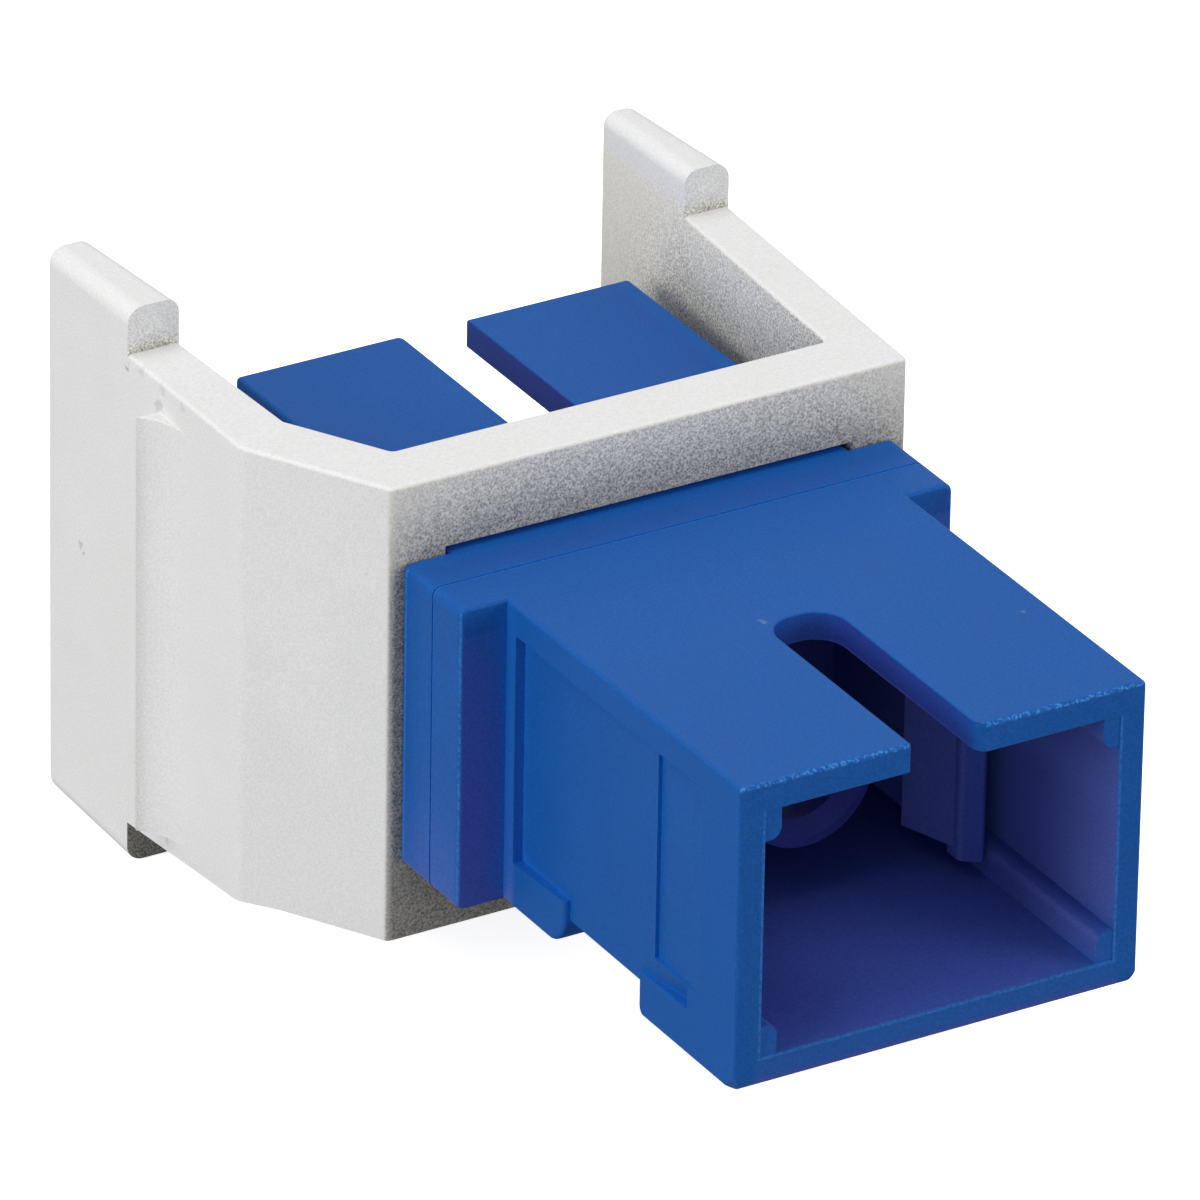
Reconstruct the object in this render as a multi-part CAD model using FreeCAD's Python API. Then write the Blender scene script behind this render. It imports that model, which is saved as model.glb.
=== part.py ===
import FreeCAD, Part
import math
import os

# Fibre adapter: two square plug ports back to back, welded at a flange, and
# held in a white snap-in frame with two arms.
# Millimetres. The origin is the middle of the alignment sleeve, where the two
# fibres meet. The fibre axis is Y, the near mouth faces -Y, the keyways are on top.

Vector = FreeCAD.Vector

# Ports: the two halves differ only in length
front_length = 13.9
rear_length = 13.7
port_width = 12.8
port_height = 9.37
port_rise = 4.65
side_wall = 0.8
top_wall = 0.86
bottom_wall = 0.93
long_edge_radius = 0.14
rim_radius = 0.12
mouth_foot_radius = 0.35
heel_length = 0.75
heel_width = 0.32
heel_height = 0.45

# Keyway in the top wall of each port
keyway_width = 2.15
keyway_length = 7.83
keyway_end_radius = 0.92
keyway_edge_radius = 0.05
keyway_lip_radius = 0.38

# Ribs that fill the four corners of the tunnel and guide the plug
rib_width = 0.52
rib_height = 0.95
rib_radius = 0.35
rib_setback = 0.03

# Flange, half on each housing, welded at Y = 0
flange_width = 15.74
front_flange = 1.5
rear_flange = 1.65
flange_radius = 0.12
flange_side_radius = 0.28
weld_groove_width = 0.05
weld_groove_depth = 0.03

# Relief in each side wall, for a spring leg, and the shallow panel before it
relief_strip = 0.5
relief_depth = 0.3
relief_end_depth = 0.03
relief_top = 3.73
panel_length = 4.3
panel_depth = 0.15
panel_margin = 1.9
panel_bottom = -2.57

# Lower edges: cut at a slant between the foot at the mouth and a tab by the flange
corner_cut = 1.1
tab_length = 3.3
tab_height = 1.3
tab_rise = 0.22
tab_radius = 0.9
tab_edge_radius = 0.12
foot_length = 5.02
foot_height = 1.4
foot_radius = 0.35
groove_depth = 0.3
groove_run_out = 0.06
groove_length = 2.48

# Latch carriers: a plate with a sleeve barrel and two hooks, one in each half
carrier_width = 12.6
carrier_plate = 1.25
carrier_clearance = 0.1
barrel_diameter = 4.2
barrel_length = 6.95
barrel_entry = 2.84
entry_chamfer = 0.42
hook_height = 5.8
hook_inner = 4.28
hook_thickness = 0.72
catch_start = 5.65
catch_edge = 5.95
catch_depth = 0.6
nose_start = 7.7
nose_length = 0.7
nose_height = 6.4
nose_step = 0.3
nose_tip = 0.2
nose_radius = 0.3
nose_tip_radius = 0.12

# Split sleeve that lines up the two ferrules
ferrule_bore = 2.5
sleeve_diameter = 3.2
sleeve_length = 11.4
sleeve_slit = 0.3
sleeve_clearance = 0.05
sleeve_end_play = 0.1

# Snap-in frame: front plate with a window, chamfered on its left
plate_width = 16.5
plate_top = 7.04
plate_bottom = -7.09
plate_thickness = 2.0
window_side_clearance = 0.14
window_gap = 0.2
chamfer_run = 4.2
chamfer_offset = 2.42
outer_corner_radius = 0.8
front_corner_radius = 0.28
square_corner_radius = 0.14
inner_corner_radius = 0.2

# Arms of the frame
left_arm_thickness = 1.85
right_arm_thickness = 1.45
arm_reach = 10.55
left_arm_thinning = 0.22
right_arm_splay = 0.5
arm_drop = 0.66
arm_drop_lead = 1.2
frame_edge_radius = 0.11

# Ears, taller than the arms, at the ends of the arms
ear_length = 4.72
ear_top = 8.45
ear_bottom = -9.03
ear_top_fall = 0.1
ear_bottom_rise = 0.15
ear_thinning = 0.28
ear_outer_radius = 0.5
ear_inner_radius = 0.42
ear_back_radius = 0.25

# Snap wedge on the outside of the left arm
wedge_start = 3.0
wedge_run = 1.6
wedge_height = 0.7
wedge_top_gap = 1.0
wedge_bottom_gap = 0.12

# Places that follow from the sizes above
port_x = port_width / 2
port_top = port_rise
port_bottom = port_rise - port_height
tunnel_x = port_x - side_wall
tunnel_top = port_top - top_wall
tunnel_bottom = port_bottom + bottom_wall
flange_x = flange_width / 2
pocket_x = carrier_width / 2 + carrier_clearance
nose_reach = nose_start + nose_length
sleeve_radius = sleeve_diameter / 2
plate_front_y = rear_flange
plate_back_y = plate_front_y + plate_thickness
plate_x = plate_width / 2
arm_left_x = -plate_x - chamfer_offset
chamfer_end_y = plate_front_y + chamfer_run
ear_front_y = plate_front_y + arm_reach
ear_back_y = ear_front_y + ear_length
beyond = 2.0
reach_across = 2 * plate_width
match_tolerance = 0.0001


def block(x0, x1, y0, y1, z0, z1):
    return Part.makeBox(x1 - x0, y1 - y0, z1 - z0, Vector(x0, y0, z0))


def prism_up(points, z0, z1):
    """Outline in plan, (x, y) points, raised from z0 to z1."""
    ring = [Vector(x, y, z0) for x, y in points]
    face = Part.Face(Part.makePolygon(ring + ring[:1]))
    return face.extrude(Vector(0, 0, z1 - z0))


def prism_back(points, y0, y1):
    """Outline seen from the mouth, (x, z) points, carried from y0 to y1."""
    ring = [Vector(x, y0, z) for x, z in points]
    face = Part.Face(Part.makePolygon(ring + ring[:1]))
    return face.extrude(Vector(0, y1 - y0, 0))


def prism_across(points, x0, x1):
    """Outline seen from the side, (y, z) points, carried from x0 to x1."""
    ring = [Vector(x0, y, z) for y, z in points]
    face = Part.Face(Part.makePolygon(ring + ring[:1]))
    return face.extrude(Vector(x1 - x0, 0, 0))


def rod(radius, y0, y1, x=0.0, z=0.0):
    return Part.makeCylinder(radius, y1 - y0, Vector(x, y0, z), Vector(0, 1, 0))


def mirror_sides(shape):
    return shape.mirror(Vector(0, 0, 0), Vector(1, 0, 0))


def turn_round(shape):
    """The same piece turned half a turn about Z, to face the far end."""
    turned = shape.copy()
    turned.rotate(Vector(0, 0, 0), Vector(0, 0, 1), 180)
    return turned


def both_sides(shape):
    return shape.fuse(mirror_sides(shape))


def edges_where(shape, test):
    """Edges whose two ends and middle all pass the test."""
    chosen = []
    for edge in shape.Edges:
        first, last = edge.ParameterRange
        places = [edge.valueAt(first), edge.valueAt((first + last) / 2), edge.valueAt(last)]
        if all(test(place) for place in places):
            chosen.append(edge)
    return chosen


def near(value, target):
    return abs(value - target) < match_tolerance


def single_solid(shape):
    return shape.removeSplitter().Solids[0]


def long_edges(shape, half_width):
    """Edges along Y at the four corners of a box that wide."""
    return edges_where(shape, lambda p: near(abs(p.x), half_width)
                       and (near(p.z, port_top) or near(p.z, port_bottom)))


def heel_cut(mouth_y):
    """Slanted cut that takes the sharp point off the left lower corner of the mouth."""
    back = Vector(-port_x, mouth_y + heel_length, port_bottom)
    side = Vector(-port_x + heel_width, mouth_y, port_bottom)
    rise = Vector(-port_x, mouth_y, port_bottom + heel_height)
    away = Vector(-beyond, -beyond, -beyond)
    face = Part.Face(Part.makePolygon([back, side, rise, back]))
    middle = (back + side + rise) / 3
    wide = face.scaled(reach_across, middle)
    return wide.extrude(away)


def port_shell(half_length, flange_thickness):
    """Solid outside of one half: port body and its share of the flange."""
    mouth_y = -half_length
    body = block(-port_x, port_x, mouth_y, 0, port_bottom, port_top)
    body = body.makeFillet(long_edge_radius, long_edges(body, port_x))
    body = body.makeFillet(rim_radius, edges_where(body, lambda p: near(p.y, mouth_y)))
    foot_y = mouth_y + mouth_foot_radius
    foot_z = port_bottom + mouth_foot_radius
    corner = block(-port_x - beyond, port_x + beyond, mouth_y - beyond, foot_y,
                   port_bottom - beyond, foot_z)
    round_edge = Part.makeCylinder(mouth_foot_radius, 2 * reach_across,
                                   Vector(-reach_across, foot_y, foot_z), Vector(1, 0, 0))
    body = body.cut(corner.cut(round_edge))
    body = body.cut(both_sides(heel_cut(mouth_y)))
    flange = block(-flange_x, flange_x, -flange_thickness, 0, port_bottom, port_top)
    flange = flange.makeFillet(flange_side_radius, long_edges(flange, flange_x))
    flange = flange.makeFillet(flange_radius, edges_where(flange, lambda p: near(p.y, -flange_thickness)))
    rim = block(-flange_x - beyond, flange_x + beyond, -weld_groove_width, beyond,
                port_bottom - beyond, port_top + beyond)
    core = block(-flange_x + weld_groove_depth, flange_x - weld_groove_depth, -weld_groove_width, 0,
                 port_bottom + weld_groove_depth, port_top - weld_groove_depth)
    corner_edges = [edge for edge in core.Edges if near(edge.Length, weld_groove_width)]
    core = core.makeFillet(flange_side_radius - weld_groove_depth, corner_edges)
    trimmed = body.fuse(flange).cut(rim)
    return trimmed.fuse(core)


def side_relief(half_length, flange_thickness):
    """What is taken off the left side wall: sloped relief, panel, groove and slanted lower edge."""
    mouth_y = -half_length
    start_y = -flange_thickness - relief_strip
    step_y = mouth_y + panel_length
    foot_y = mouth_y + foot_length
    foot_z = port_bottom + foot_height
    outside_x = -port_x - beyond
    inside_x = -port_x + corner_cut
    relief = prism_up([(outside_x, start_y), (-port_x + relief_depth, start_y),
                       (-port_x + relief_end_depth, step_y), (outside_x, step_y)],
                      port_bottom - beyond, relief_top)
    panel = prism_up([(outside_x, step_y), (-port_x + panel_depth, step_y),
                      (-port_x, mouth_y + panel_margin), (outside_x, mouth_y + panel_margin)],
                     panel_bottom, relief_top)
    groove_front = [Vector(outside_x, foot_y - groove_length, panel_bottom),
                    Vector(-port_x, foot_y - groove_length, panel_bottom),
                    Vector(-port_x + groove_depth, foot_y - groove_length, foot_z),
                    Vector(outside_x, foot_y - groove_length, foot_z)]
    groove_back = [Vector(outside_x, foot_y, panel_bottom),
                   Vector(-port_x, foot_y, panel_bottom),
                   Vector(-port_x + groove_run_out, foot_y, foot_z),
                   Vector(outside_x, foot_y, foot_z)]
    rings = [Part.makePolygon(ring + ring[:1]) for ring in (groove_front, groove_back)]
    groove = Part.makeLoft(rings, True, True)
    slant = prism_back([(outside_x, port_bottom + corner_cut + beyond),
                        (inside_x + beyond, port_bottom - beyond), (outside_x, port_bottom - beyond)],
                       foot_y - foot_radius, -flange_thickness)
    tab_y = -flange_thickness - tab_length
    tab_z = port_bottom + tab_height
    tab = prism_across([(tab_y, port_bottom), (0, port_bottom), (0, tab_z), (tab_y, tab_z + tab_rise)],
                       -port_x, inside_x)
    tab_corner = edges_where(tab, lambda p: near(p.y, tab_y) and near(p.z, port_bottom))
    tab = tab.makeFillet(tab_radius, tab_corner)
    tab_rim = edges_where(tab, lambda p: near(p.x, -port_x) and p.y < 0)
    tab = tab.makeFillet(tab_edge_radius, tab_rim)
    foot = block(outside_x, inside_x, mouth_y, foot_y, port_bottom, foot_z)
    foot_corner = edges_where(foot, lambda p: near(p.y, foot_y) and near(p.z, port_bottom))
    foot = foot.makeFillet(foot_radius, foot_corner)
    return relief.fuse(slant).cut(tab).cut(foot).fuse(panel).fuse(groove)


def corner_rib(half_length, side, level):
    """One guide rib in a corner of the tunnel; side and level are -1 or 1."""
    wall_z = tunnel_top if level > 0 else tunnel_bottom
    x0, x1 = sorted([side * (tunnel_x - rib_width), side * (tunnel_x + side_wall / 2)])
    z0, z1 = sorted([wall_z - level * rib_height, wall_z + level * top_wall / 2])
    rib = block(x0, x1, -half_length + rib_setback, -carrier_plate, z0, z1)
    free_x = side * (tunnel_x - rib_width)
    free_z = wall_z - level * rib_height
    free_edge = edges_where(rib, lambda p: near(p.x, free_x) and near(p.z, free_z))
    return rib.makeFillet(rib_radius, free_edge)


def keyway(half_length):
    """Slot in the top wall, open at the mouth, with a round inner end."""
    slot_x = keyway_width / 2
    end_y = -half_length + keyway_length
    slot = block(-slot_x, slot_x, -half_length - beyond, end_y, 0, port_top + beyond)
    inner_end = edges_where(slot, lambda p: near(p.y, end_y) and near(abs(p.x), slot_x))
    return slot.makeFillet(keyway_end_radius, inner_end)


def lip_corner(half_length):
    """What is taken off the right lip of the keyway to round it."""
    lip_x = keyway_width / 2 + keyway_lip_radius
    lip_y = -half_length + keyway_lip_radius
    corner = block(0, lip_x, -half_length - beyond, lip_y, 0, port_top + beyond)
    return corner.cut(Part.makeCylinder(keyway_lip_radius, port_height, Vector(lip_x, lip_y, 0)))


def housing(half_length, flange_thickness):
    """One moulded half of the adapter, mouth towards -Y."""
    mouth_y = -half_length
    shell = port_shell(half_length, flange_thickness)
    shell = shell.cut(both_sides(side_relief(half_length, flange_thickness)))
    tunnel = block(-tunnel_x, tunnel_x, mouth_y - beyond, 0, tunnel_bottom, tunnel_top)
    for side in (-1, 1):
        for level in (-1, 1):
            tunnel = tunnel.cut(corner_rib(half_length, side, level))
    pocket = block(-pocket_x, pocket_x, -carrier_plate, beyond, tunnel_bottom, tunnel_top)
    shell = single_solid(shell.cut(tunnel).cut(pocket).cut(keyway(half_length)))
    slot_reach = keyway_width / 2 + match_tolerance
    end_y = mouth_y + keyway_length + match_tolerance
    slot_edges = edges_where(shell, lambda p: near(p.z, port_top) and abs(p.x) < slot_reach and p.y < end_y)
    shell = shell.makeFillet(keyway_edge_radius, slot_edges)
    return single_solid(shell.cut(lip_corner(half_length)))


def front_housing():
    return housing(front_length, front_flange)


def rear_housing():
    return turn_round(housing(rear_length, rear_flange))


def hook():
    """Latch hook on the right: a flat arm, a catch that points inwards and a lower, wider nose."""
    hook_outer = hook_inner + hook_thickness
    edge_x = hook_inner - catch_depth
    arm = prism_up([(hook_inner, -carrier_plate / 2), (hook_inner, -catch_start), (edge_x, -catch_edge),
                    (hook_inner, -nose_start), (hook_outer, -nose_start), (hook_outer, -carrier_plate / 2)],
                   -hook_height / 2, hook_height / 2)
    nose = prism_up([(hook_inner, -nose_start + nose_step), (hook_inner, -nose_start - nose_step),
                     (hook_outer - nose_tip, -nose_reach), (hook_outer, -nose_reach + nose_tip),
                     (hook_outer, -nose_start + nose_step)],
                    -nose_height / 2, nose_height / 2)
    shoulder = edges_where(nose, lambda p: near(p.x, hook_inner) and near(p.y, -nose_start - nose_step))
    nose = nose.makeFillet(nose_radius, shoulder)
    tip = edges_where(nose, lambda p: near(p.y, -nose_reach) or near(p.y, -nose_reach + nose_tip))
    nose = nose.makeFillet(nose_tip_radius, [edge for edge in tip if near(edge.Length, nose_height)])
    return arm.fuse(nose)


def latch_carrier():
    """Inner moulding of one half: plate against the seam, barrel and two hooks."""
    half_width = carrier_width / 2
    plate = block(-half_width, half_width, -carrier_plate, 0,
                  tunnel_bottom + carrier_clearance, tunnel_top - carrier_clearance)
    barrel = rod(barrel_diameter / 2, -barrel_length, 0)
    body = plate.fuse(barrel).fuse(both_sides(hook()))
    pocket = rod(sleeve_radius + sleeve_clearance, -sleeve_length / 2 - sleeve_end_play, beyond)
    entry = rod(barrel_entry / 2, -barrel_length - beyond, 0)
    lead_in = Part.makeCone(barrel_entry / 2 + entry_chamfer, barrel_entry / 2, entry_chamfer,
                            Vector(0, -barrel_length, 0), Vector(0, 1, 0))
    return single_solid(body.cut(pocket).cut(entry).cut(lead_in))


def front_latch_carrier():
    return latch_carrier()


def rear_latch_carrier():
    return turn_round(latch_carrier())


def alignment_sleeve():
    """Thin ceramic tube, slit along its top so that it grips both ferrules."""
    tube = rod(sleeve_radius, -sleeve_length / 2, sleeve_length / 2)
    tube = tube.cut(rod(ferrule_bore / 2, -sleeve_length, sleeve_length))
    slit = block(-sleeve_slit / 2, sleeve_slit / 2, -sleeve_length, sleeve_length, 0, sleeve_diameter)
    return single_solid(tube.cut(slit))


def frame_plan():
    """Plate, chamfer and both arms seen from above, as one bent strip."""
    slant = math.hypot(chamfer_run, chamfer_offset)
    inner_start_x = -plate_x + (slant - chamfer_offset) * plate_thickness / chamfer_run
    left_inner_x = arm_left_x + left_arm_thickness
    inner_rise = (inner_start_x - left_inner_x) * chamfer_run / chamfer_offset
    inner_end_y = plate_back_y + inner_rise
    right_inner_x = plate_x - right_arm_thickness
    outline = [(plate_x, plate_front_y),
               (-plate_x, plate_front_y),
               (arm_left_x, chamfer_end_y),
               (arm_left_x, ear_front_y),
               (left_inner_x - left_arm_thinning, ear_front_y),
               (left_inner_x, inner_end_y),
               (inner_start_x, plate_back_y),
               (right_inner_x, plate_back_y),
               (right_inner_x + right_arm_splay, ear_front_y),
               (plate_x + right_arm_splay, ear_front_y)]
    return outline


def frame_strip():
    """The bent strip with its rounded corners and top edge; the arms grow deeper towards the ears."""
    plan = frame_plan()
    strip = prism_up(plan, ear_bottom, plate_top)
    corners = [(plan[0], square_corner_radius),
               (plan[1], front_corner_radius),
               (plan[2], outer_corner_radius),
               (plan[5], inner_corner_radius),
               (plan[6], inner_corner_radius),
               (plan[7], inner_corner_radius)]
    for (x, y), radius in corners:
        corner = edges_where(strip, lambda p, x=x, y=y: near(p.x, x) and near(p.y, y))
        strip = strip.makeFillet(radius, corner)
    rim = edges_where(strip, lambda p: near(p.z, plate_top))
    ends = edges_where(strip, lambda p: near(p.y, ear_front_y))
    rim = [edge for edge in rim if not any(edge.isSame(other) for other in ends)]
    strip = strip.makeFillet(frame_edge_radius, rim)
    drop_y = chamfer_end_y - arm_drop_lead
    profile = prism_across([(plate_front_y - beyond, plate_bottom), (drop_y, plate_bottom),
                            (ear_front_y, plate_bottom - arm_drop), (ear_front_y, ear_top),
                            (plate_front_y - beyond, ear_top)], -reach_across, reach_across)
    return strip.common(profile)


def ear(front, back):
    """Tall end of an arm between the (outer x, inner x) pairs at its front and back."""
    plan = prism_up([(front[0], ear_front_y), (back[0], ear_back_y),
                     (back[1], ear_back_y), (front[1], ear_front_y)],
                    ear_bottom - beyond, ear_top + beyond)
    profile = prism_across([(ear_front_y, ear_bottom), (ear_back_y, ear_bottom + ear_bottom_rise),
                            (ear_back_y, ear_top - ear_top_fall), (ear_front_y, ear_top)],
                           -reach_across, reach_across)
    solid = plan.common(profile)
    middle = (front[0] + front[1] + back[0] + back[1]) / 4
    outward = front[0] - middle

    start_y = ear_front_y + match_tolerance
    end_y = ear_back_y - match_tolerance

    def runs_along(p):
        return abs(p.z) > plate_top and start_y < p.y < end_y

    def along_edges(test):
        places = [(edge, edge.valueAt(sum(edge.ParameterRange) / 2)) for edge in solid.Edges]
        return [edge for edge, p in places if runs_along(p) and test(p)]

    solid = solid.makeFillet(ear_outer_radius, along_edges(lambda p: (p.x - middle) * outward > 0))
    solid = solid.makeFillet(ear_inner_radius, along_edges(lambda p: (p.x - middle) * outward < 0))
    back_edges = []
    for edge in solid.Edges:
        first, last = edge.ParameterRange
        ends = [edge.valueAt(first), edge.valueAt(last)]
        if all(near(p.y, ear_back_y) and abs(p.z) > plate_top for p in ends):
            back_edges.append(edge)
    return solid.makeFillet(ear_back_radius, back_edges)


def snap_wedge():
    """Ramp on the left arm that catches behind the wall plate; it swells out of the arm in an arc."""
    start_y = chamfer_end_y + wedge_start
    end_y = start_y + wedge_run
    root_x = arm_left_x + left_arm_thickness / 2
    low_z = plate_bottom + wedge_bottom_gap
    foot = Vector(arm_left_x, start_y, low_z)
    crest = Vector(arm_left_x - wedge_height, end_y, low_z)
    radius = (wedge_run ** 2 + wedge_height ** 2) / (2 * wedge_height)
    half_turn = math.asin(wedge_run / radius) / 2
    middle = Vector(arm_left_x - radius * (1 - math.cos(half_turn)),
                    start_y + radius * math.sin(half_turn), low_z)
    corners = [crest, Vector(root_x, end_y, low_z), Vector(root_x, start_y, low_z), foot]
    outline = [Part.Arc(foot, middle, crest).toShape()]
    for first, second in zip(corners, corners[1:]):
        outline.append(Part.makeLine(first, second))
    ramp = Part.Face(Part.Wire(outline))
    return ramp.extrude(Vector(0, 0, plate_top - wedge_top_gap - low_z))


def mounting_frame():
    strip = frame_strip()
    window = block(-port_x - window_side_clearance, port_x + window_side_clearance,
                   plate_front_y - beyond, plate_back_y + beyond,
                   port_bottom - window_gap, port_top + window_gap)
    left_inner = arm_left_x + left_arm_thickness - left_arm_thinning
    right_outer = plate_x + right_arm_splay
    right_inner = right_outer - right_arm_thickness
    left_ear = ear((arm_left_x, left_inner), (arm_left_x, left_inner - ear_thinning))
    right_ear = ear((right_outer, right_inner), (right_outer - ear_thinning, right_inner))
    frame = strip.fuse(left_ear).fuse(right_ear).fuse(snap_wedge())
    return single_solid(frame.cut(window))


def write_parts():
    makers = [mounting_frame, front_housing, rear_housing, front_latch_carrier,
              rear_latch_carrier, alignment_sleeve]
    os.makedirs("parts", exist_ok=True)
    for maker in makers:
        solid = maker()
        solid.exportStep(os.path.join("parts", maker.__name__ + ".step"))
        box = solid.BoundBox
        state = "valid" if solid.isValid() else "NOT VALID"
        print(maker.__name__, state, "volume %.2f" % solid.Volume,
              "from %.2f %.2f %.2f" % (box.XMin, box.YMin, box.ZMin),
              "to %.2f %.2f %.2f" % (box.XMax, box.YMax, box.ZMax))


write_parts()
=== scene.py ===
import math

import bpy
import numpy as np
from mathutils import Matrix, Vector


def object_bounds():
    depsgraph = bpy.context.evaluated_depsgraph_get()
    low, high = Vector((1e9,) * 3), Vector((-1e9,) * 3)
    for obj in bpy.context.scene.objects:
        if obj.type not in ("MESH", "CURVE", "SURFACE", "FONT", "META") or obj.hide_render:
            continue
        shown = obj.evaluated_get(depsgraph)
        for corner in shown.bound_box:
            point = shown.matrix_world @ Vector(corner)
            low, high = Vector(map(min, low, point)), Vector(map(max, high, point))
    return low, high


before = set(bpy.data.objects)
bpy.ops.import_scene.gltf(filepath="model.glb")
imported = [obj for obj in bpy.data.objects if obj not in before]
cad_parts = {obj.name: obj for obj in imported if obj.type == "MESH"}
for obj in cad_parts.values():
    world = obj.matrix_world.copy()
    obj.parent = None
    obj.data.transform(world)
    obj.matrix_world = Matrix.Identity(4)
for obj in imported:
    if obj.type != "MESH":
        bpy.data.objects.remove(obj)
cadBox = [list(corner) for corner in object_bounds()]
print("frame loaded:", ", ".join(sorted(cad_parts)))

mm = 0.001                       # everything below is written in millimetres and placed in metres


def linearColor(hexText):
    # sRGB hex to the linear values that a shader socket takes
    parts = [int(hexText[i:i + 2], 16) / 255 for i in (1, 3, 5)]
    return [p / 12.92 if p <= 0.04045 else ((p + 0.055) / 1.055) ** 2.4 for p in parts] + [1.0]


def perMm(size):
    # texture scale for a pattern whose repeat is this many millimetres, on Object coordinates in metres
    return 1.0 / (size * mm)


def addNode(tree, kind, settings=None, links=None):
    # one shader node with its settings (attributes or socket values) and the sockets linked into it
    node = tree.nodes.new(kind)
    for name, value in (settings or {}).items():
        if isinstance(name, int) or name in node.inputs:
            node.inputs[name].default_value = value
        else:
            setattr(node, name, value)
    for name, socket in (links or {}).items():
        tree.links.new(socket, node.inputs[name])
    return node


def newMaterial(name):
    material = bpy.data.materials.new(name)
    material.use_nodes = True
    material.node_tree.nodes.clear()
    return material, material.node_tree


# Camera: a long lens from the left and above, turned very slightly. Angles in degrees
cameraPlace = {"azimuth": -30.897, "elevation": 27.868, "roll": 1.007, "lens": 449.03, "sensor": 36,
               "location": (-189.417, -312.254, 195.355), "nearest": 10, "farthest": 20000}

azimuth, elevation, roll = (math.radians(cameraPlace[k]) for k in ("azimuth", "elevation", "roll"))
towardsCamera = Vector((math.sin(azimuth) * math.cos(elevation), -math.cos(azimuth) * math.cos(elevation),
                        math.sin(elevation)))
levelRight = Vector((math.cos(azimuth), math.sin(azimuth), 0))
levelUp = towardsCamera.cross(levelRight)
right = levelRight * math.cos(roll) + levelUp * math.sin(roll)
up = levelUp * math.cos(roll) - levelRight * math.sin(roll)
cameraData = bpy.data.cameras.new("camera")
cameraData.lens = cameraPlace["lens"]
cameraData.sensor_width = cameraPlace["sensor"]
cameraData.clip_start = cameraPlace["nearest"] * mm
cameraData.clip_end = cameraPlace["farthest"] * mm
camera = bpy.data.objects.new("camera", cameraData)
turn = Matrix((right, up, towardsCamera)).transposed().to_4x4()
camera.matrix_world = Matrix.Translation(Vector(cameraPlace["location"]) * mm) @ turn
bpy.context.scene.collection.objects.link(camera)
bpy.context.scene.camera = camera
print("camera placed")


# Light: a white tent, a little brighter from above and the left. What the camera and reflections see
# of it has its own strength, apart from the light that it gives
tent = {"color": "#FFFFFF", "ambient": 0.45, "background": 1.0}
lamps = {
    "topLamp": {"location": (-60, 60, 420), "size": 420, "watts": 0.78},
    "leftLamp": {"location": (-430, -30, 120), "size": 300, "watts": 0.95},
    "frontLamp": {"location": (300, -300, 120), "size": 240, "watts": 0.64},
}

world = bpy.data.worlds.new("tentWorld")
bpy.context.scene.world = world
world.use_nodes = True
tree = world.node_tree
tree.nodes.clear()
paths = addNode(tree, "ShaderNodeLightPath").outputs
seen = paths["Is Camera Ray"]
for ray in ("Is Transmission Ray", "Is Glossy Ray"):
    seen = addNode(tree, "ShaderNodeMath", {"operation": "MAXIMUM"}, {0: seen, 1: paths[ray]}).outputs[0]
white = linearColor(tent["color"])
fill = addNode(tree, "ShaderNodeBackground", {"Color": white, "Strength": tent["ambient"]})
clean = addNode(tree, "ShaderNodeBackground", {"Color": white, "Strength": tent["background"]})
mixed = addNode(tree, "ShaderNodeMixShader", {}, {0: seen, 1: fill.outputs[0], 2: clean.outputs[0]})
addNode(tree, "ShaderNodeOutputWorld", {}, {"Surface": mixed.outputs[0]})

for name, lamp in lamps.items():
    data = bpy.data.lights.new(name, "AREA")
    data.shape = "DISK"
    data.size = lamp["size"] * mm
    data.energy = lamp["watts"]
    thing = bpy.data.objects.new(name, data)
    place = Vector(lamp["location"]) * mm
    thing.matrix_world = Matrix.Translation(place) @ place.to_track_quat("Z", "Y").to_matrix().to_4x4()
    bpy.context.scene.collection.objects.link(thing)
print("lamps placed")


# Floor: a wide sheet of pale paper just under the ears, which are the object's lowest part. It glows a
# little for the camera alone, and throws back less light than it shows
floorLook = {"color": "#F4F4F4", "bounce": "#A8A8A8", "light": "#FFFFFF", "glow": 0.78, "roughness": 0.9,
             "specular": 0.1, "reach": 1600, "rise": 500, "drop": 0.02, "flat": 0.4, "columns": 33, "rows": 65}


def floorSheet(name, look):
    # grid of u across and v along, both from -1 to 1: x = reach * u, y = reach * v, and z = rise * t^2,
    # where t is 0 up to the end of the flat part and then grows to 1 at the back edge
    reach, rise = look["reach"] * mm, look["rise"] * mm
    columns, rows = look["columns"], look["rows"]
    u, v = np.meshgrid(np.linspace(-1, 1, columns), np.linspace(-1, 1, rows))
    t = np.clip((v - look["flat"]) / (1 - look["flat"]), 0, 1)
    base = cadBox[0][2] - look["drop"] * mm
    points = np.stack([u * reach, v * reach, base + rise * t ** 2], axis=-1).reshape(-1, 3)
    index = np.arange(columns * rows).reshape(rows, columns)
    quads = np.stack([index[:-1, :-1], index[:-1, 1:], index[1:, 1:], index[1:, :-1]], axis=-1)
    mesh = bpy.data.meshes.new(name)
    mesh.from_pydata(points.tolist(), [], quads.reshape(-1, 4).tolist())
    return bpy.data.objects.new(name, mesh)


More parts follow.
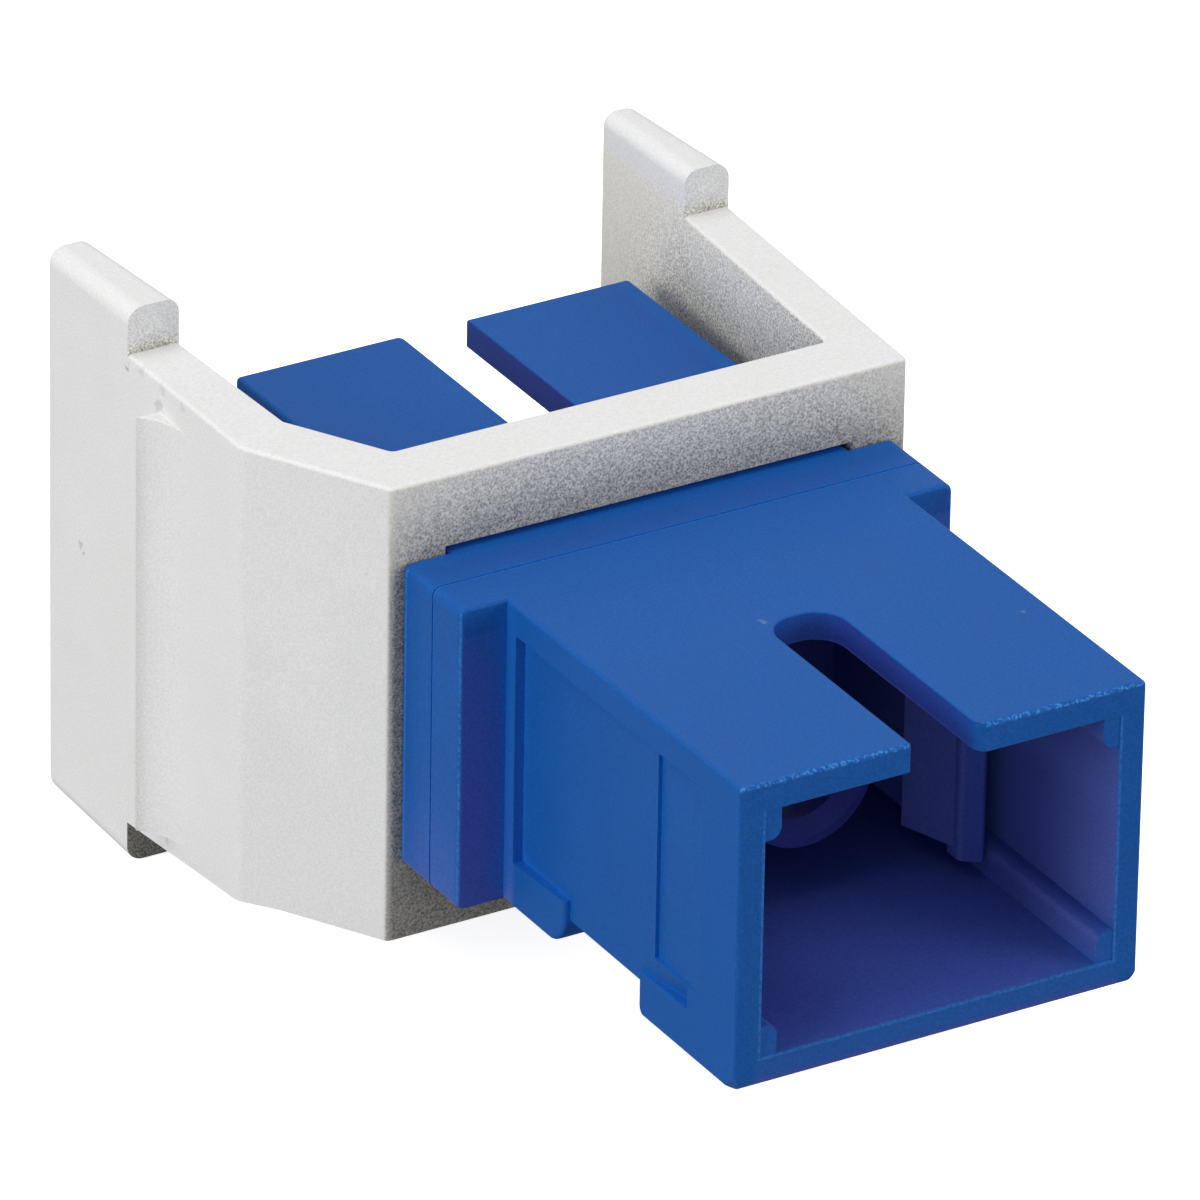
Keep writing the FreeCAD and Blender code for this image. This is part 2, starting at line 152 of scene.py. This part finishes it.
material, tree = newMaterial("palePaperSweep")
seen = addNode(tree, "ShaderNodeLightPath").outputs["Is Camera Ray"]
glow = addNode(tree, "ShaderNodeMath", {"operation": "MULTIPLY", 1: floorLook["glow"]}, {0: seen})
color = addNode(tree, "ShaderNodeMixRGB", {"Color1": linearColor(floorLook["bounce"]),
                                           "Color2": linearColor(floorLook["color"])}, {"Fac": seen})
paper = addNode(tree, "ShaderNodeBsdfPrincipled",
                {"Roughness": floorLook["roughness"], "Specular IOR Level": floorLook["specular"],
                 "Emission Color": linearColor(floorLook["light"])},
                {"Base Color": color.outputs[0], "Emission Strength": glow.outputs[0]})
addNode(tree, "ShaderNodeOutputMaterial", {}, {"Surface": paper.outputs[0]})
floor = floorSheet("floor", floorLook)
floor.data.materials.append(material)
bpy.context.scene.collection.objects.link(floor)
print("floor laid")


# How the masks of the finishes fade: the part of a line that is at full strength, and how far a face's
# normal leans to the low end of an axis before the face counts as turned to it
fading = {"lineCore": 0.4, "lean": (-0.6, -0.9)}


def softStep(span, levels=(0.0, 1.0)):
    # settings of a Map Range that eases from the first level, at the span's start, to the second at its end
    return {"interpolation_type": "SMOOTHSTEP", "From Min": span[0], "From Max": span[1],
            "To Min": levels[0], "To Max": levels[1]}


def alongAxis(tree, place, axis, span, levels=(0.0, 1.0)):
    # soft step along one axis of a place, with its span in millimetres
    value = addNode(tree, "ShaderNodeSeparateXYZ", {}, {0: place}).outputs[axis]
    step = softStep([end * mm for end in span], levels)
    return addNode(tree, "ShaderNodeMapRange", step, {"Value": value}).outputs[0]


def lineAcross(tree, place, axis, middle, reach):
    # thin line across one axis of a place, in millimetres: 1 about its middle, 0 from its reach on
    value = addNode(tree, "ShaderNodeSeparateXYZ", {}, {0: place}).outputs[axis]
    gap = addNode(tree, "ShaderNodeMath", {"operation": "SUBTRACT", 1: middle * mm}, {0: value})
    gap = addNode(tree, "ShaderNodeMath", {"operation": "ABSOLUTE"}, {0: gap.outputs[0]})
    step = softStep((reach * mm, fading["lineCore"] * reach * mm))
    return addNode(tree, "ShaderNodeMapRange", step, {"Value": gap.outputs[0]}).outputs[0]


def turnedTo(tree, axis):
    # 1 on the faces that are turned to the low end of an axis, 0 on the others
    normal = addNode(tree, "ShaderNodeTexCoord").outputs["Normal"]
    lean = addNode(tree, "ShaderNodeSeparateXYZ", {}, {0: normal}).outputs[axis]
    return addNode(tree, "ShaderNodeMapRange", softStep(fading["lean"]), {"Value": lean}).outputs[0]


def laidOver(tree, color, tint, *masks):
    # the colour with a tint, which is hex or a socket, laid over it where all of the masks are 1
    amount = masks[0]
    for mask in masks[1:]:
        amount = addNode(tree, "ShaderNodeMath", {"operation": "MULTIPLY"}, {0: amount, 1: mask}).outputs[0]
    hexTint = isinstance(tint, str)
    return addNode(tree, "ShaderNodeMixRGB", {"Color2": linearColor(tint)} if hexTint else {},
                   {"Fac": amount, "Color1": color, **({} if hexTint else {"Color2": tint})}).outputs[0]


# Moulded skin, the same on both plastics: soft clouds, whose size is in millimetres, and a fine
# spark-eroded grain, whose size each plastic has for itself
skin = {"cloud": 3.0, "cloudDetail": 3.0, "cloudRoughness": 0.6, "grainDetail": 2.0, "grainRoughness": 0.55,
        "bump": 0.5, "smoother": 0.06, "rougher": 0.08, "swing": (0.3, 0.7), "skySamples": 8}


def cloudAndGrain(tree, place, look):
    # the two noises of the skin; the grain is drawn a little coarser than a real one, so that it shows
    cloud = addNode(tree, "ShaderNodeTexNoise", {"Scale": perMm(skin["cloud"]), "Detail": skin["cloudDetail"],
                                                 "Roughness": skin["cloudRoughness"]}, {"Vector": place})
    grain = addNode(tree, "ShaderNodeTexNoise", {"Scale": perMm(look["grain"]), "Detail": skin["grainDetail"],
                                                 "Roughness": skin["grainRoughness"]}, {"Vector": place})
    return cloud.outputs["Fac"], grain.outputs["Fac"]


def speckled(tree, color, grain, strength):
    # the colour made lighter and darker by the grain's swing about its middle
    swing = addNode(tree, "ShaderNodeMapRange", {"From Min": skin["swing"][0], "From Max": skin["swing"][1],
                                                 "To Min": -1.0, "To Max": 1.0}, {"Value": grain})
    factor = addNode(tree, "ShaderNodeMath", {"operation": "MULTIPLY_ADD", 2: 1.0},
                     {0: swing.outputs[0], 1: strength})
    return addNode(tree, "ShaderNodeVectorMath", {"operation": "SCALE"},
                   {0: color, "Scale": factor.outputs[0]}).outputs[0]


# Frayed outline of a rubbed mark: size of its frays, how far they reach, and the share that is fully rubbed
fray = {"size": 0.25, "detail": 3.0, "reach": 0.6, "core": 0.3}


def scuffed(tree, place, color, look):
    # small rubbed marks, each within a radius of its place, with the place itself shaken by a noise
    shake = addNode(tree, "ShaderNodeTexNoise", {"Scale": perMm(fray["size"]), "Detail": fray["detail"]},
                    {"Vector": place})
    shake = addNode(tree, "ShaderNodeVectorMath", {"operation": "MULTIPLY_ADD", 1: (fray["reach"] * mm,) * 3,
                                                   2: (-fray["reach"] / 2 * mm,) * 3},
                    {0: shake.outputs["Color"]})
    shaken = addNode(tree, "ShaderNodeVectorMath", {"operation": "ADD"}, {0: place, 1: shake.outputs[0]})
    for centre, radius, strength in look["scuffs"]:
        gap = addNode(tree, "ShaderNodeVectorMath", {"operation": "DISTANCE", 1: [c * mm for c in centre]},
                      {0: shaken.outputs[0]})
        step = softStep((radius * mm, fray["core"] * radius * mm), (0.0, strength))
        mask = addNode(tree, "ShaderNodeMapRange", step, {"Value": gap.outputs["Value"]}).outputs[0]
        color = laidOver(tree, color, look["scuff"], mask)
    return color


def mouldedSurface(tree, look, color, grain, cloud):
    # the grain as a fine relief, the roughness a little cloudy
    bump = addNode(tree, "ShaderNodeBump", {"Strength": skin["bump"], "Distance": look["relief"] * mm},
                   {"Height": grain})
    rough = addNode(tree, "ShaderNodeMapRange", {"To Min": look["roughness"] - skin["smoother"],
                                                 "To Max": look["roughness"] + skin["rougher"]},
                    {"Value": cloud})
    plastic = addNode(tree, "ShaderNodeBsdfPrincipled",
                      {"IOR": look["ior"], "Specular IOR Level": look["specular"]},
                      {"Base Color": color, "Roughness": rough.outputs[0], "Normal": bump.outputs[0]})
    addNode(tree, "ShaderNodeOutputMaterial", {}, {"Surface": plastic.outputs[0]})


# Mounting frame. Sizes and places in millimetres; pairs run from no effect to the full one
whiteAbs = {
    "color": "#ECECEC", "shade": "#E4E4E3", "roughness": 0.5, "ior": 1.54, "specular": 0.4,
    "grain": 0.062, "relief": 0.012,
    "front": "#E8E5DC", "paintedShade": "#5F5D58",             # painted shade: tint of the faces turned from the light, and the darker tone painted in the nooks between them
    "reach": 5.0,                                      # how far round a point the sky is looked for
    "paintedNookShade": 0.5, "nookShut": (0.8, 0.5),               # strength of the shade painted in nooks, and how shut in they are
    "away": 0.55, "paintedFrontShadeSpan": (7.6, 3.6),             # painted shade on the front plate, darker from its top edge down
    "innerArm": (4, 5), "belowEars": (7.5, 7.1),
    "speckle": 0.07, "deepSpeckle": 0.62, "deepShut": (1.0, 0.55), "earSpeckle": 0.4,
    "scuff": "#8E8D8A",
    "scuffs": [                                        # place, radius, strength
        ((-10.67, 14.96, -0.18), 0.16, 0.5), ((-10.67, 14.78, -0.35), 0.12, 0.45),
        ((-11.3, 10.9, 2.49), 0.12, 0.5), ((-10.67, 12.23, 6.62), 0.16, 0.6),
        ((-10.6, 11.4, 6.85), 0.24, 0.22), ((-10.6, 10.2, 6.8), 0.28, 0.2),
        ((-10.6, 9.1, 6.75), 0.22, 0.2), ((-10.67, 10.4, 6.25), 0.3, 0.35),
        ((-10.7, 9.94, -7.05), 0.3, 0.4)],
}


def mouldedWhite(name, look):
    # white ABS, moulded: a matte skin, with painted shade on the faces turned from the light and in the nooks,
    # where the grain shows as stronger specks
    material, tree = newMaterial(name)
    place = addNode(tree, "ShaderNodeTexCoord").outputs["Object"]
    cloud, grain = cloudAndGrain(tree, place, look)
    sky = addNode(tree, "ShaderNodeAmbientOcclusion",
                  {"samples": skin["skySamples"], "Distance": look["reach"] * mm}).outputs["AO"]
    color = addNode(tree, "ShaderNodeMixRGB", {"Color1": linearColor(look["shade"]),
                                               "Color2": linearColor(look["color"])}, {"Fac": cloud}).outputs[0]
    # painted shade: the inside of the right arm and the faces turned to the near mouth are painted in shade, the
    # lower the deeper
    front = turnedTo(tree, "Y")
    inner = addNode(tree, "ShaderNodeMath", {"operation": "MULTIPLY"},
                    {0: alongAxis(tree, place, "X", look["innerArm"]), 1: turnedTo(tree, "X")})
    shaded = addNode(tree, "ShaderNodeMath", {"operation": "MAXIMUM"},
                     {0: front, 1: inner.outputs[0]}).outputs[0]
    belowEars = alongAxis(tree, place, "Z", look["belowEars"])
    color = laidOver(tree, color, look["front"], shaded, belowEars)
    # painted shade, darker in nooks that see little sky
    paintedNookShade = addNode(tree, "ShaderNodeMapRange", softStep(look["nookShut"], (0.0, look["paintedNookShade"])), {"Value": sky})
    color = laidOver(tree, color, look["paintedShade"], shaded, paintedNookShade.outputs[0])
    # painted shade down the front plate from its top edge
    paintedFrontShadeMask = alongAxis(tree, place, "Z", look["paintedFrontShadeSpan"], (0.0, look["away"]))
    color = laidOver(tree, color, look["paintedShade"], front, paintedFrontShadeMask)
    # specks of the grain: faint everywhere, stronger where shade is painted in the nooks, weaker again on the
    # ears
    deep = addNode(tree, "ShaderNodeMapRange", softStep(look["deepShut"], (0.0, look["deepSpeckle"])),
                   {"Value": sky})
    deep = addNode(tree, "ShaderNodeMath", {"operation": "MULTIPLY"}, {0: shaded, 1: deep.outputs[0]})
    fade = addNode(tree, "ShaderNodeMapRange", {"To Min": look["earSpeckle"]}, {"Value": belowEars})
    strength = addNode(tree, "ShaderNodeMath", {"operation": "MULTIPLY_ADD", 2: look["speckle"]},
                       {0: deep.outputs[0], 1: fade.outputs[0]})
    color = speckled(tree, color, grain, strength.outputs[0])
    color = scuffed(tree, place, color, look)
    mouldedSurface(tree, look, color, grain, cloud)
    return material


# Housings and latch carriers. Sizes and places in millimetres; pairs run from no effect to the full one
bluePbt = {
    "color": "#175AA9", "shade": "#15539F", "roughness": 0.45, "ior": 1.5, "specular": 0.12,
    "grain": 0.08, "relief": 0.006, "speckle": 0.14, "deepSpeckle": 0.12, "deepShut": (1.0, 0.5),
    "near": 1.5, "far": 12.0,                          # how far round a point the sky is looked for
    # painted light: a paler blue on narrow ledges and steps
    "paintedLedgeLight": "#1B66BE", "ledgeShut": (0.85, 0.45),
    # painted shade: violet for the sockets, paler on the walls turned to the lit side, and darker blue on the
    # keyway slot wall
    "deep": "#4457AE", "paintedLitWallShade": "#5B6BBC", "violetShut": (0.80, 0.55),
    "socketSide": (5.9, 5.7), "flangeSide": (2.2, 1.8),
    "slot": "#2C3F92", "slotWall": (3.69, 3.89),
    # painted shade: the barrel at the bottom of the socket is painted darker
    "barrel": "#2C3480", "barrelReach": (2.6, 2.3),
    "broken": 0.10, "brokenDetail": 2.0,               # how long the breaks in the lines below are
    # painted highlight: a broken pale line on the upper edge of each mouth
    "paintedMouthHighlight": "#3C84D2", "mouthHighlightFront": (13.79, 13.84), "mouthHighlightTop": (4.51, 4.56), "mouthHighlightBreaks": (0.45, 0.65),
    # painted highlights: thin broken pale lines on the lower lips, the sides of the mouths and the flange's
    # upright edges
    "paintedEdgeHighlight": "#3474C2", "lineReach": 0.06, "lineBreaks": (0.35, 0.6), "edgeHighlightLevels": (0.25, 1.0),
    "rim": 13.865, "lip": -3.825, "lipEnds": (5.735, 5.635), "jamb": 5.635, "jambEnds": (3.825, 3.725),
    "flangeFront": 1.465, "flangeCorner": (7.79, 7.82),
    # painted highlight: the weld line painted paler over the shade of its groove
    "paintedWeldHighlight": "#2C70C0", "weldReach": (0.06, 0.0), "weldLevels": (0.5, 1.0),
    "scuff": "#7C97B4",
    "scuffs": [((-0.95, -6.02, 4.65), 0.2, 0.35), ((5.57, -8.87, 4.65), 0.12, 0.4)],
}


def mouldedBlue(name, look, barrel=False):
    # blue PBT, moulded: a satin skin with dense pigment, painted paler on ledges for the light they catch from a
    # neighbour, and painted violet in the sockets for light that has bounced often, with painted highlights on
    # the mouths, flange and weld line
    material, tree = newMaterial(name)
    place = addNode(tree, "ShaderNodeTexCoord").outputs["Object"]
    # the place without its signs, so that both ports and both sides are alike
    folded = addNode(tree, "ShaderNodeVectorMath", {"operation": "ABSOLUTE"}, {0: place}).outputs[0]
    cloud, grain = cloudAndGrain(tree, place, look)
    near, far = (addNode(tree, "ShaderNodeAmbientOcclusion",
                         {"samples": skin["skySamples"], "Distance": look[reach] * mm}).outputs["AO"]
                 for reach in ("near", "far"))
    color = addNode(tree, "ShaderNodeMixRGB", {"Color1": linearColor(look["shade"]),
                                               "Color2": linearColor(look["color"])}, {"Fac": cloud}).outputs[0]
    # painted light: narrow ledges and steps, which see little sky close by, are painted paler
    paintedLedgeLight = addNode(tree, "ShaderNodeMapRange", softStep(look["ledgeShut"]), {"Value": near}).outputs[0]
    color = laidOver(tree, color, look["paintedLedgeLight"], paintedLedgeLight)

    # painted shade: deep places, which see far less sky at a distance than close by, are painted violet in the
    # sockets and by the flange, paler violet on the walls turned to the lit side, and darker blue on the wall of
    # the keyway slot
    share = addNode(tree, "ShaderNodeMath", {"operation": "DIVIDE"}, {0: far, 1: near}).outputs[0]
    deep = addNode(tree, "ShaderNodeMapRange", softStep(look["violetShut"]), {"Value": share}).outputs[0]
    inside = addNode(tree, "ShaderNodeMath", {"operation": "MAXIMUM"},
                     {0: alongAxis(tree, folded, "X", look["socketSide"]),
                      1: alongAxis(tree, folded, "Y", look["flangeSide"])}).outputs[0]
    socket = addNode(tree, "ShaderNodeMixRGB", {"Color1": linearColor(look["deep"]),
                                                "Color2": linearColor(look["paintedLitWallShade"])},
                     {"Fac": turnedTo(tree, "X")}).outputs[0]
    socket = laidOver(tree, socket, look["slot"], alongAxis(tree, place, "Z", look["slotWall"]))
    color = laidOver(tree, color, socket, inside, deep)

    # painted highlight: a broken pale line on the upper edge of each mouth
    broken = addNode(tree, "ShaderNodeTexNoise", {"Scale": perMm(look["broken"]), "Detail": look["brokenDetail"]},
                     {"Vector": place}).outputs["Fac"]
    breaks = addNode(tree, "ShaderNodeMapRange", softStep(look["mouthHighlightBreaks"]), {"Value": broken}).outputs[0]
    color = laidOver(tree, color, look["paintedMouthHighlight"], alongAxis(tree, folded, "Y", look["mouthHighlightFront"]),
                     alongAxis(tree, place, "Z", look["mouthHighlightTop"]), breaks)

    # painted highlights: thin broken pale lines on the lower lip and the sides of each mouth and on the upright
    # edges of the flange
    edgeHighlightBroken = addNode(tree, "ShaderNodeMapRange", softStep(look["lineBreaks"], look["edgeHighlightLevels"]),
                   {"Value": broken}).outputs[0]
    rim = lineAcross(tree, folded, "Y", look["rim"], look["lineReach"])
    lip = (rim, lineAcross(tree, place, "Z", look["lip"], look["lineReach"]),
           alongAxis(tree, folded, "X", look["lipEnds"]))
    jamb = (rim, lineAcross(tree, folded, "X", look["jamb"], look["lineReach"]),
            alongAxis(tree, folded, "Z", look["jambEnds"]))
    upright = (lineAcross(tree, folded, "Y", look["flangeFront"], look["lineReach"]),
               alongAxis(tree, folded, "X", look["flangeCorner"]))
    for masks in (lip, jamb, upright):
        color = laidOver(tree, color, look["paintedEdgeHighlight"], edgeHighlightBroken, *masks)

    # painted highlight: the weld line round the flange painted paler over the shade of its groove; then the scuff
    # marks
    welded = addNode(tree, "ShaderNodeMapRange", softStep(look["lineBreaks"], look["weldLevels"]),
                     {"Value": broken}).outputs[0]
    color = laidOver(tree, color, look["paintedWeldHighlight"], alongAxis(tree, folded, "Y", look["weldReach"]), welded)
    color = scuffed(tree, place, color, look)

    if barrel:                   # painted shade: the sleeve barrel at the bottom of the socket is painted darker than its walls
        across = addNode(tree, "ShaderNodeVectorMath", {"operation": "MULTIPLY", 1: (1, 0, 1)}, {0: place})
        radius = addNode(tree, "ShaderNodeVectorMath", {"operation": "LENGTH"}, {0: across.outputs[0]})
        step = softStep([end * mm for end in look["barrelReach"]])
        mask = addNode(tree, "ShaderNodeMapRange", step, {"Value": radius.outputs["Value"]}).outputs[0]
        color = laidOver(tree, color, look["barrel"], mask)
    step = softStep(look["deepShut"], (look["speckle"], look["deepSpeckle"]))
    strength = addNode(tree, "ShaderNodeMapRange", step, {"Value": far}).outputs[0]
    color = speckled(tree, color, grain, strength)
    mouldedSurface(tree, look, color, grain, cloud)
    return material


# Alignment sleeve. Ring spacing and relief in millimetres
zirconia = {"color": "#F1EFE6", "roughness": 0.18, "ior": 2.15, "rings": 0.25, "wobble": 0.6,
            "ringDetail": 1.0, "bump": 0.3, "relief": 0.002}


def groundCeramic(name, look):
    # zirconia, ground on its outside: pale, dense and glossy, with fine rings along its length. Real
    # grinding marks are far finer, and are drawn this coarse so that they show
    material, tree = newMaterial(name)
    place = addNode(tree, "ShaderNodeTexCoord").outputs["Object"]
    rings = addNode(tree, "ShaderNodeTexWave",
                    {"wave_type": "BANDS", "bands_direction": "Y", "Scale": perMm(look["rings"]),
                     "Distortion": look["wobble"], "Detail": look["ringDetail"]}, {"Vector": place})
    bump = addNode(tree, "ShaderNodeBump", {"Strength": look["bump"], "Distance": look["relief"] * mm},
                   {"Height": rings.outputs["Fac"]})
    ceramic = addNode(tree, "ShaderNodeBsdfPrincipled",
                      {"Base Color": linearColor(look["color"]), "Roughness": look["roughness"],
                       "IOR": look["ior"]}, {"Normal": bump.outputs[0]})
    addNode(tree, "ShaderNodeOutputMaterial", {}, {"Surface": ceramic.outputs[0]})
    return material


def dressNode(node, material):
    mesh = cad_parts[node].data
    mesh.materials.clear()
    mesh.materials.append(material)


whiteMaterial = mouldedWhite("mouldedWhiteAbs", whiteAbs)
blueMaterial = mouldedBlue("mouldedBluePbt", bluePbt)
carrierMaterial = mouldedBlue("mouldedBluePbtCarrier", bluePbt, barrel=True)
ceramicMaterial = groundCeramic("groundZirconia", zirconia)

dressNode("mounting_frame", whiteMaterial)
for node in ("front_housing", "rear_housing"):
    dressNode(node, blueMaterial)
for node in ("front_latch_carrier", "rear_latch_carrier"):
    dressNode(node, carrierMaterial)
dressNode("alignment_sleeve", ceramicMaterial)
print("finishes made")

bpy.context.scene.view_settings.view_transform = "Standard"
